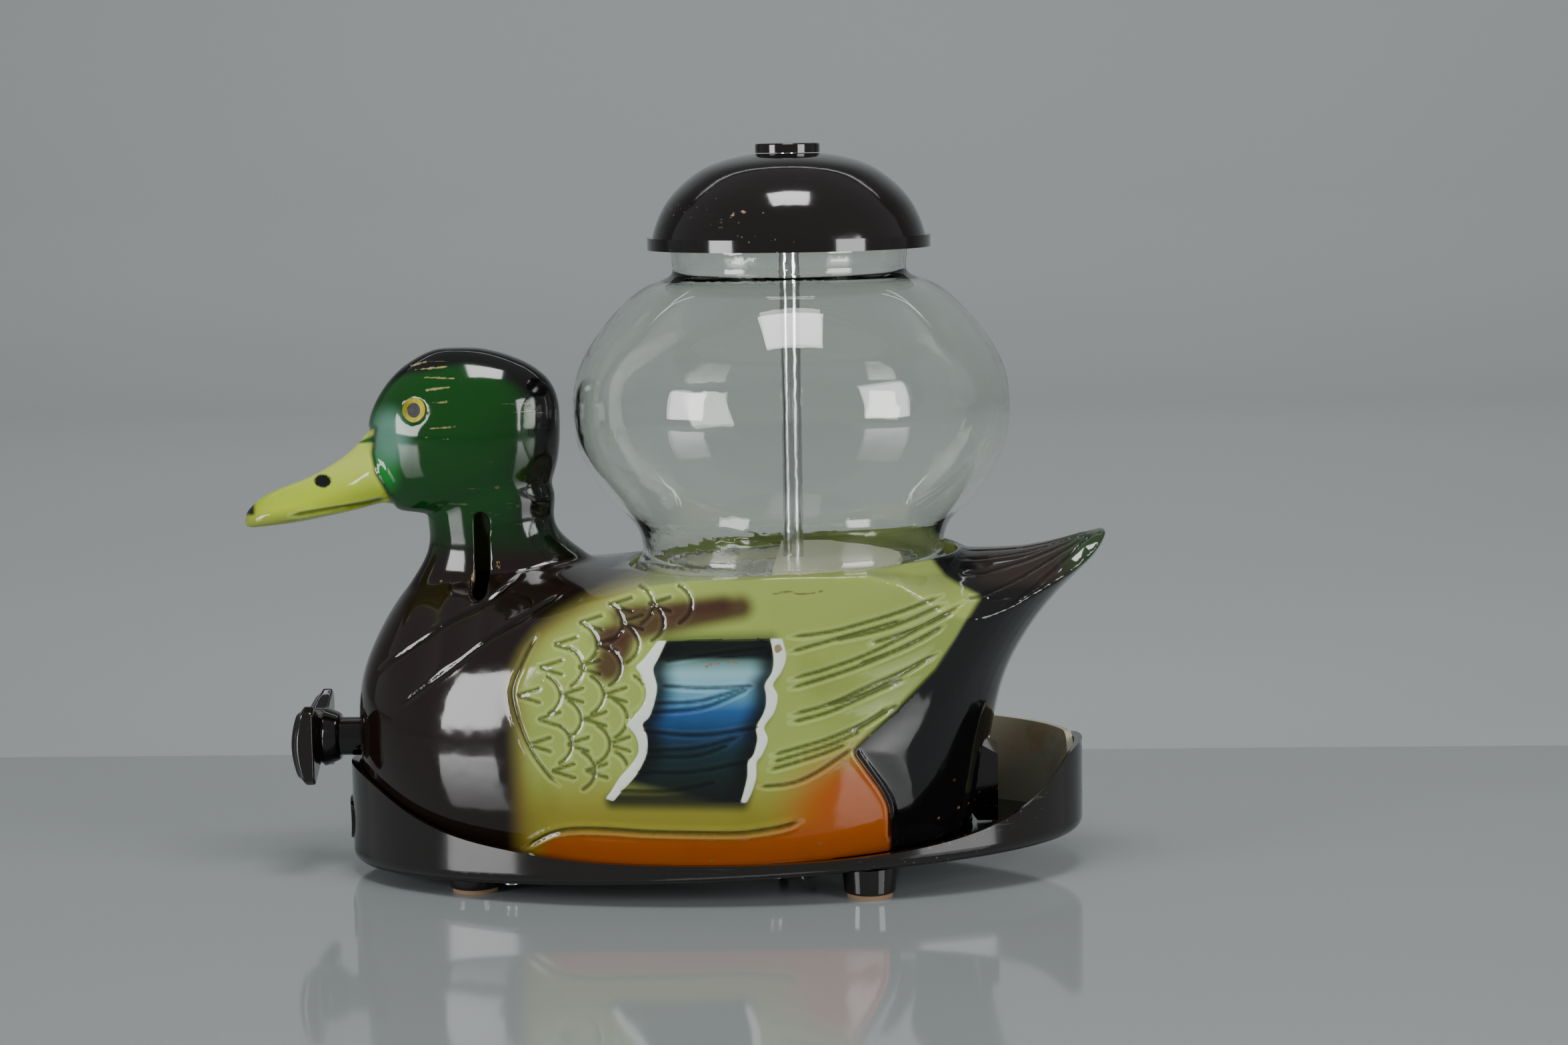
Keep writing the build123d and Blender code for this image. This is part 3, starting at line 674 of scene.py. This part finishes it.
def paint_duck(p, n):
    """Colour, relief and line distances for the outside points of the duck, in mm."""
    q = seen_place(p)
    u, w = q[:, 0], q[:, 1]
    side = np.abs(p[:, 1])
    on_trunk = (w < 126) | (u > -30)
    colour = np.tile(HUES["wing"], (len(p), 1))
    relief = np.zeros(len(p))
    grooves = np.full(len(p), FAR)

    def cut(line, wide=GROOVE_WIDE, deep=GROOVE_DEEP, fade=0.12, mask=None, ridge=0.25):
        nonlocal relief, grooves
        d, along = line_distance(q, curve_points(line))
        ends = smooth(0, fade, along) * smooth(0, fade, 1 - along)
        if mask is not None:
            ends = ends * mask
            d = np.where(mask > 0.5, d, 9.0)
        relief -= deep * ends * np.exp(-(d / wide) ** 2)
        relief += deep * ridge * ends * np.exp(-((d - RIDGE_AWAY) / RIDGE_WIDE) ** 2)
        grooves = np.minimum(grooves, d + (1 - ends) * 0.9)

    # airbrushed ground
    brown = signed_distance(q, BROWN_EDGE, 14)
    rump = signed_distance(q, RUMP_EDGE, 14)
    fold_z = np.interp(u, *np.transpose(FOLD))
    colour = over(colour, HUES["wing_top"], smooth(84, 118, w) * 0.6)
    colour = over(colour, HUES["wing_low"], smooth(44, 16, w))
    colour = over(colour, HUES["orange"], smooth(-1.5, 4.5, fold_z - w) * smooth(-62, -50, u))
    patch = smooth(1.25, 0.5, ellipse(q, 74, 18, 34, 29))
    colour = over(colour, HUES["patch"], patch)
    colour = over(colour, HUES["brown_haze"], smooth(9, 0, brown) * 0.65)
    colour = over(colour, HUES["brown"], smooth(4.5, -5, brown))
    for line, wide in BLOTCHES:
        d, _ = line_distance(q, curve_points(line), 14)
        colour = over(colour, HUES["blotch"], smooth(wide + 3.2, wide - 3.2, d) * 0.92)

    # the blue panel between its two white bars
    left_out, left_in, right_in, right_out = (
        curve_points(edge, step=1.0)
        for edge in (LEFT_BAR_OUT, LEFT_BAR_IN, RIGHT_BAR_IN, RIGHT_BAR_OUT))
    panel = signed_distance(q, np.vstack((left_in, right_in[::-1])), 8)
    heights = [height for height, shown in PANEL_COLOURS]
    shades = np.array([tone(*shown) for height, shown in PANEL_COLOURS])
    blue = np.stack([np.interp(w, heights, shades[:, k]) for k in range(3)], 1)
    left_x, right_x = (np.interp(w, *np.transpose(edge[::-1])[::-1])
                       for edge in (LEFT_BAR_IN, RIGHT_BAR_IN))
    shade = smooth(11, 1.5, u - left_x) + smooth(10, 1.5, right_x - u)
    blue = over(blue, HUES["panel_shade"], shade * 0.92)
    colour = over(colour, HUES["panel_haze"], smooth(5.0, 0, panel) * 0.55)
    colour = over(colour, HUES["panel_foot"], smooth(5.5, -0.5, panel) * smooth(31, 26, w) * 0.85)
    colour = over(colour, blue, smooth(0.5, -0.5, panel) * smooth(23.5, 28.5, w + 0.25 * (u - 4)))
    bars = np.minimum(signed_distance(q, np.vstack((left_out, left_in[::-1]))),
                      signed_distance(q, np.vstack((right_in, right_out[::-1]))))
    relief += BAR_RISE * smooth(0.5, -0.5, bars)

    # rump, tail and neck
    colour = over(colour, HUES["rump"], smooth(1.4, -1.4, rump))
    tail_top = smooth(112, 122, u) * smooth(106, 112, w) * smooth(-0.1, 0.4, n[:, 2])
    colour = over(colour, HUES["tail_top"], tail_top)
    colour = over(colour, HUES["tail_end"], smooth(146, 158, u) * 0.8)
    relief -= RUMP_STEP * smooth(0.9, -0.9, rump) * smooth(-14, -2, rump) * (w < 104)
    head = smooth(119, 139, w) * (u < -30)
    colour = over(colour, HUES["head"], head)
    colour = over(colour, HUES["head_low"], head * smooth(148, 124, w) * 0.75)
    crown = (smooth(14.2, 11.0, side + 6 * smooth(-92, -112, u)) * smooth(142, 152, w)
             * smooth(-119, -112, u + 0.25 * (w - 175)))
    colour = over(colour, HUES["crown"], crown * head)
    nape = smooth(16.5, 12.5, side) * smooth(-78, -66, u) * (w > 112)
    colour = over(colour, HUES["nape"], nape * head)
    # painted sheen: a brighter green patch on the cheek
    cheek_sheen = smooth(1.3, 0.3, ellipse(q, -112, 157, 6.5, 11))
    colour = over(colour, HUES["cheek_sheen"], cheek_sheen * head)
    # painted highlight: a pale teal patch on the front of the face
    brow_highlight = smooth(1.25, 0.35, ellipse(q, -110, 169, 8.5, 12))
    colour = over(colour, HUES["brow_highlight"], brow_highlight * 0.8 * head)

    # bill
    bill = signed_distance(q, BILL_RING, 8)
    on_bill = (u < -100) & (w > 128)
    bill = np.where(on_bill, bill, 8.0)
    lime = over(np.tile(HUES["bill"], (len(p), 1)), HUES["bill_top"], smooth(146, 160, w))
    lime = over(lime, HUES["bill_low"], smooth(142, 137, w) * 0.6)
    lime = over(lime, HUES["bill_nail"], smooth(-162.6, -164.6, u) * smooth(138.2, 140, w))
    feathers = signed_distance(q, BILL_FEATHERS, 4)
    lime = over(lime, HUES["bill_feathered"], smooth(0.4, -0.6, feathers))
    colour = over(colour, lime, smooth(0.5, -0.5, bill))
    colour = over(colour, HUES["bill_line"], smooth(1.6, 0.2, np.abs(bill - 0.4)) * 0.7 * on_bill)
    relief -= BILL_EDGE_DEEP * np.exp(-(bill / BILL_EDGE_WIDE) ** 2) * on_bill
    hole = ellipse(q, *NOSTRIL)
    colour = over(colour, HUES["nostril_dark"], smooth(1.08, 0.92, hole) * on_bill)
    relief -= NOSTRIL_DEEP * smooth(1.1, 0.6, hole) * on_bill
    cut(MOUTH, 0.7, 0.7, mask=on_bill.astype(float))

    # engraving
    trunk_mask = on_trunk.astype(float)
    for line in PANEL_LINES:
        cut(line, 0.7, 0.5, 0.06, mask=(panel < 0.5).astype(float))
    for line in WING_LINES:
        cut(line, 0.75, 0.62, 0.08, mask=trunk_mask)
    for line in BREAST_LINES:
        cut(line, 0.8, 0.6, 0.1, mask=trunk_mask, ridge=0.12)
    cut(FOLD, 0.9, 0.9, 0.05, mask=trunk_mask, ridge=0.55)
    cut(PATCH_EDGE[:-1], 0.9, 0.6, 0.05, mask=trunk_mask, ridge=0.8)
    cut(SCALLOP_EDGE, 0.8, 0.6, 0.08)
    clear = ((brown > -2) & (bars > 0.6) & (panel > 0)).astype(float)
    angle = np.linspace(-SCALE_TURN, SCALE_TURN, 15)
    for z, tips in SCALE_TIPS.items():
        for x in tips:
            along = x + SCALE_BACK + (SCALE_LONG - SCALE_BACK) * np.cos(angle)
            arc = np.stack((along, z + SCALE_TALL * np.sin(angle)), 1)
            cut(arc, 0.6, 0.42, 0.02, clear, 0.22)
            for sign in (-1, 1):
                cut([(x, z), (x + MARK_LONG, z + sign * MARK_TALL)], 0.5, 0.28, 0.02, clear, 0.12)
    to_tip = np.maximum(TAIL_TIP - p[:, 0], 1.0)
    fan = side / to_tip
    on_tail = (smooth(110, 116, p[:, 0]) * smooth(0.25, 0.5, n[:, 2])
               * smooth(TAIL_TIP - 3, TAIL_TIP - 9, p[:, 0]))
    for place in TAIL_GROOVES:
        d = np.abs(fan - place) * to_tip
        relief -= TAIL_GROOVE_DEEP * on_tail * np.exp(-(d / TAIL_GROOVE_WIDE) ** 2)
        grooves = np.where(on_tail > 0.5, np.minimum(grooves, d), grooves)
    crack, _ = line_distance(q, curve_points(CRACK))
    scratch = np.full(len(p), FAR)
    for line in SCRATCHES:
        scratch = np.minimum(scratch, line_distance(q, curve_points(line))[0])
    chip = np.zeros(len(p))
    for place in CHIPS:
        chip = np.maximum(chip, smooth(1.3, 0.3, ellipse(q, *place)))
    return {"paint": colour, "relief": relief, "groove": np.minimum(grooves, FAR), "bars": bars,
            "crack": np.minimum(crack, FAR), "head": head * (bill > 0), "scratch": scratch,
            "chip": chip}


def duck_paint():
    """Airbrushed gloss paint, with crisp white bars, dark engraved lines with a painted highlight
    along their lips, scratches, chips and wear.
    """
    s = Shader("duck_paint")
    colour = s.attribute("paint", colour=True)
    cloud = s.noise(26, 5, 0.6)
    fine = s.noise(700, 3, 0.6)
    ragged = s.math("MULTIPLY", s.math("SUBTRACT", s.noise(420, 3, 0.6), 0.5), 0.5)
    colour = s.mix(s.ramp(cloud, 0.5, 0.75, 0.0, 0.5), colour, s.shade(colour, 0.72, 1.05))
    dark = s.shade(colour, 0.22)
    lip_highlight = s.shade(colour, 1.35, 0.85)
    # a painted highlight along the raised lips, white bars and dark engraved lines
    uneven = s.math("ADD", s.attribute("groove"), ragged)
    ridge = s.math("MULTIPLY", s.ramp(uneven, 0.9, 1.4), s.ramp(uneven, 2.4, 1.7))
    white = s.mix(s.ramp(cloud, 0.4, 0.8), (0.74, 0.78, 0.70), (0.55, 0.60, 0.52))
    # the lip beside each groove is painted lighter: a painted highlight
    colour = s.lay(ridge, 0.55, colour, lip_highlight)
    colour = s.mix(s.ramp(s.attribute("bars"), 0.45, -0.25), colour, white)
    colour = s.lay(s.ramp(uneven, 1.05, 0.25), 0.8, colour, dark)
    # the crack, small chips, larger chips and scratches
    crack = s.ramp(s.add(s.attribute("crack"), ragged, 1.6), 0.55, 0.25)
    colour = s.lay(crack, 0.7, colour, (0.10, 0.08, 0.03))
    chips = s.ramp(s.cells(120, s.place((1, 1, 1.6))), 0.13, 0.10)
    chips = s.math("MULTIPLY", chips, s.ramp(s.noise(11, 3, 0.6), 0.60, 0.66))
    colour = s.lay(chips, 0.8, colour, (0.21, 0.13, 0.07))
    flakes = s.math("SUBTRACT", s.noise(300, 5, 0.75), 0.5)
    worn = s.ramp(s.add(s.attribute("chip"), flakes, 3.2), 0.72, 0.80)
    worn = s.math("MULTIPLY", worn, s.ramp(s.attribute("chip"), 0.04, 0.12))
    colour = s.lay(worn, 0.9, colour, (0.23, 0.15, 0.07))
    cut_through = s.add(s.attribute("scratch"), s.noise(260, 4, 0.7), 1.5)
    colour = s.lay(s.ramp(cut_through, 1.15, 0.95), 0.8, colour, (0.33, 0.28, 0.12))
    marks = s.streaks((45, 45, 900), (0.05, 0.1, 0.0), 0.66, 0.72, 0.6)
    marks = s.math("MULTIPLY", marks, s.ramp(s.noise(24, 3, 0.6), 0.54, 0.62))
    marks = s.math("MULTIPLY", marks, s.attribute("head"))
    colour = s.lay(marks, 0.8, colour, (0.30, 0.25, 0.12))
    # gloss and small unevenness
    scratch = s.streaks((700, 60, 60), (0.2, 0.5, 0.6), 0.62, 0.74)
    scratch = s.math("MULTIPLY", scratch, s.ramp(s.noise(8, 3), 0.48, 0.62))
    roughness = s.add(s.add(0.07, scratch, 0.2), cloud, 0.04)
    s.set(Base_Color=colour, Roughness=roughness, Coat_Weight=0.2, Coat_Roughness=0.05, IOR=1.48)
    height = s.add(s.add(s.noise(70, 3), fine, 0.12), chips, -0.6)
    s.set(Normal=s.bump(height, 0.07, 0.0006))
    return s.material


def half_skin(mesh, name, side, material):
    """One half of the finished skin, cut on the centre plane, with fewer faces inside."""
    half = bmesh.new()
    half.from_mesh(mesh)
    bmesh.ops.bisect_plane(half, geom=half.verts[:] + half.edges[:] + half.faces[:],
                           plane_co=(0, 0, 0), plane_no=(0, side, 0), clear_inner=True)
    made = bpy.data.meshes.new(name)
    half.to_mesh(made)
    half.free()
    obj = link(bpy.data.objects.new(name, made))
    inner = np.empty(len(made.vertices), np.float32)
    made.attributes["inner"].data.foreach_get("value", inner)
    group = obj.vertex_groups.new(name="inner")
    group.add([int(i) for i in np.where(inner > 0.5)[0]], 1.0, "REPLACE")
    share = float((inner > 0.5).mean())
    thin = obj.modifiers.new("thin", "DECIMATE")
    thin.ratio = 1 - share * (1 - INNER_KEPT)
    thin.vertex_group = "inner"
    bake_modifiers(obj)
    obj.data.shade_smooth()
    obj.data.materials.append(material)
    return obj


def build_duck():
    """Makes both halves of the painted skin and returns their material."""
    skin = fine_skin()
    mesh = skin.data
    p, n = points_of(mesh) / MM, normals_of(mesh)
    out = outside_of(mesh)
    for name in ("eye_left", "eye_right"):
        out |= np.linalg.norm(p - box_middle(name), axis=1) < EYE_SOCKET_R
    made = paint_duck(p[out], n[out])
    relief = made.pop("relief")
    moved = p.copy()
    moved[out] += n[out] * np.clip(relief, RELIEF_LOW, RELIEF_HIGH)[:, None]
    mesh.vertices.foreach_set("co", (moved * MM).astype(np.float32).ravel())
    blank = {"paint": HUES["skin_blank"], "groove": FAR, "bars": FAR, "crack": FAR, "head": 0.0,
             "scratch": FAR, "chip": 0.0}
    for key, values in made.items():
        full = np.tile(blank[key], (len(p), 1) if key == "paint" else len(p))
        full[out] = values
        store(mesh, key, full)
    store(mesh, "inner", np.where(out, 0.0, 1.0))
    mesh.update()
    material = duck_paint()
    for name, side in (("body_shell_left", -1), ("body_shell_right", 1)):
        half = half_skin(mesh, name.replace("body_shell", "duck_skin"), side, material)
        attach(half, "base")
        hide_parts(name)
    bpy.data.objects.remove(skin)
    return material


duck_material = build_duck()


# ---- eyes ----

def eye_material(name):
    """A yellow ring about a dark pupil, as seen along the eye's own axis."""
    s = Shader("eye_" + name)
    middle = Vector(box_middle("eye_" + name)) * MM
    facing = Vector(EYE_FACING)
    facing.y = math.copysign(facing.y, middle.y)
    out = s.vector("SUBTRACT", s.place(), middle)
    away = s.vector("LENGTH", s.vector("CROSS_PRODUCT", out, facing.normalized()))
    iris = s.mix(s.noise(900, 4, 0.6), (0.80, 0.72, 0.02), (0.55, 0.48, 0.015))
    edge = [PUPIL_R * MM * (1 + share) for share in (PUPIL_EDGE, -PUPIL_EDGE)]
    s.set(Base_Color=s.mix(s.ramp(away, *edge), iris, (0.006, 0.005, 0.004)),
          Roughness=0.25, Specular_IOR_Level=0.15)
    return s.material


def chipped_lid():
    """The dark moulding with tan chips where the lid has been knocked."""
    s = gloss_shader("lid_gloss", DARK, 0.07, 0.8)
    base = s.surface.inputs["Base Color"]
    ragged = s.math("MULTIPLY", s.noise(170, 4, 0.7, s.place((1, 1, 2.2))), 0.012)
    chip = None
    for place, size in LID_CHIPS:
        away = s.math("ADD", s.vector("DISTANCE", s.place(), [v * MM for v in place]), ragged)
        here = s.ramp(away, (size + 5.6) * MM, (size + 4.6) * MM)
        chip = here if chip is None else s.math("MAXIMUM", chip, here)
    s.put(s.lay(chip, 0.85, base.links[0].from_socket, (0.36, 0.25, 0.17)), base)
    return s.material


dark = gloss_shader("dark_gloss", DARK, 0.07, 0.6).material


def soft_knob():
    """The bow-tie handle with rounded edges and a face that is domed from top to bottom."""
    obj = link(bpy.data.objects.new("knob_skin", nodes["knob"].data.copy()))
    even = obj.modifiers.new("even", "REMESH")
    even.mode = "VOXEL"
    even.voxel_size = KNOB_VOXEL * MM
    relax = obj.modifiers.new("relax", "SMOOTH")
    relax.iterations = KNOB_RELAX
    bake_modifiers(obj)
    low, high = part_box("knob")
    p = points_of(obj.data) / MM
    middle = (low.z + high.z) / 2 / MM
    half = (high.z - low.z) / 2 / MM
    reach = high.y / MM
    dome = np.cos(np.clip((p[:, 2] - middle) / half, -1, 1) * math.pi / 2)
    start, full = (low.x / MM + behind for behind in KNOB_FRONT)
    taper = 1 - KNOB_TAPER * (p[:, 1] / reach) ** 2
    p[:, 0] += KNOB_DOME * (KNOB_FLAT - dome * taper) * smooth(start, full, p[:, 0])
    obj.data.vertices.foreach_set("co", (p * MM).astype(np.float32).ravel())
    obj.data.update()
    obj.data.shade_smooth()
    obj.data.materials.clear()
    obj.data.materials.append(dark)
    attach(obj, "knob")
    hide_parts("knob")


soft_knob()
MATERIALS = {
    "dark_gloss": dark,
    "cream": satin_plastic("cream", (0.70, 0.67, 0.47)),
    "glass": clear_glass("globe_glass"),
    "chrome": bright_metal("chrome", (0.80, 0.80, 0.81), 0.08),
    "steel": bright_metal("zinc_steel", (0.55, 0.54, 0.52), 0.28),
    "eye_clear": clear_glass("eye_glass", (1, 1, 0.98), 1.14),
    "pad": rubber("tan_pad", (0.30, 0.19, 0.10)),
    "gasket": rubber("gasket", (0.6, 0.6, 0.56)),
    "white_nylon": satin_plastic("nylon", (0.72, 0.72, 0.68), stained=0.1),
    "duck_paint": duck_material,
}
SPECIAL = {
    "lid": chipped_lid(),
    "discharge_chute": dark,
    # the guard's cream is lighter than the other cream mouldings: painted light, standing in for
    # the light that the tray's rim keeps off it
    "nut_guard": satin_plastic("guard_cream_painted_light", (0.88, 0.85, 0.62), stained=0.6),
    "tray": gloss_shader("tray_gloss", TRAY_DARK, 0.10, 1.4).material,
}
for part in frame["record"]["subparts"]:
    obj = nodes[part["node"]]
    obj.data.materials.clear()
    slot = part["material_slot"]
    if slot == "eye_yellow":
        obj.data.materials.append(eye_material(part["node"][4:]))
    elif part["node"] in SPECIAL:
        obj.data.materials.append(SPECIAL[part["node"]])
    else:
        obj.data.materials.append(MATERIALS[slot])
